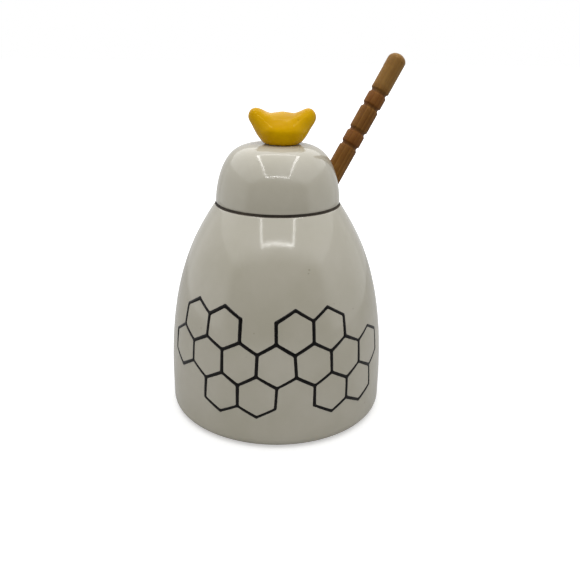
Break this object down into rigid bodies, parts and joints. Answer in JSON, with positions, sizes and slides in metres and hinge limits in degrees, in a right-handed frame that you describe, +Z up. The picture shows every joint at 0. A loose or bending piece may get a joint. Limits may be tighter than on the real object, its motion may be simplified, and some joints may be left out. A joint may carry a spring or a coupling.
{
  "type": "honey pot",
  "caption": "Bell-shaped glazed ceramic honey pot with a lift-off domed lid, a winged yellow knob and a turned wooden honey dipper that leans out through a slot in the lid.",
  "frame": {"origin": "middle of the ring that the pot stands on, on the pot's axis", "axes": "+Z up along the pot's axis, -Y towards the front, +X to the right as seen from the front; the dipper leans towards +X and a little to the back"},
  "size_m": [0.1194, 0.112, 0.1789],
  "materials": {
    "white_glaze": "glossy warm off-white glaze",
    "yellow_glaze": "glossy honey-yellow glaze",
    "turned_wood": "oiled, turned, satin"
  },
  "bodies": {
    "pot": {"pot_body": "white_glaze"},
    "lid": {"lid": "white_glaze", "lid_knob": "yellow_glaze"},
    "dipper": {"honey_dipper": "turned_wood"}
  },
  "joints": [
    {"name": "lid_lift", "type": "slide", "parent": "pot", "child": "lid", "axis": [0, 0, 1], "range_m": [0, 0.08]},
    {"name": "dipper_draw", "type": "slide", "parent": "pot", "child": "dipper", "axis": [0.4775, 0.1929, 0.8572], "range_m": [0, 0.065]}
  ]
}
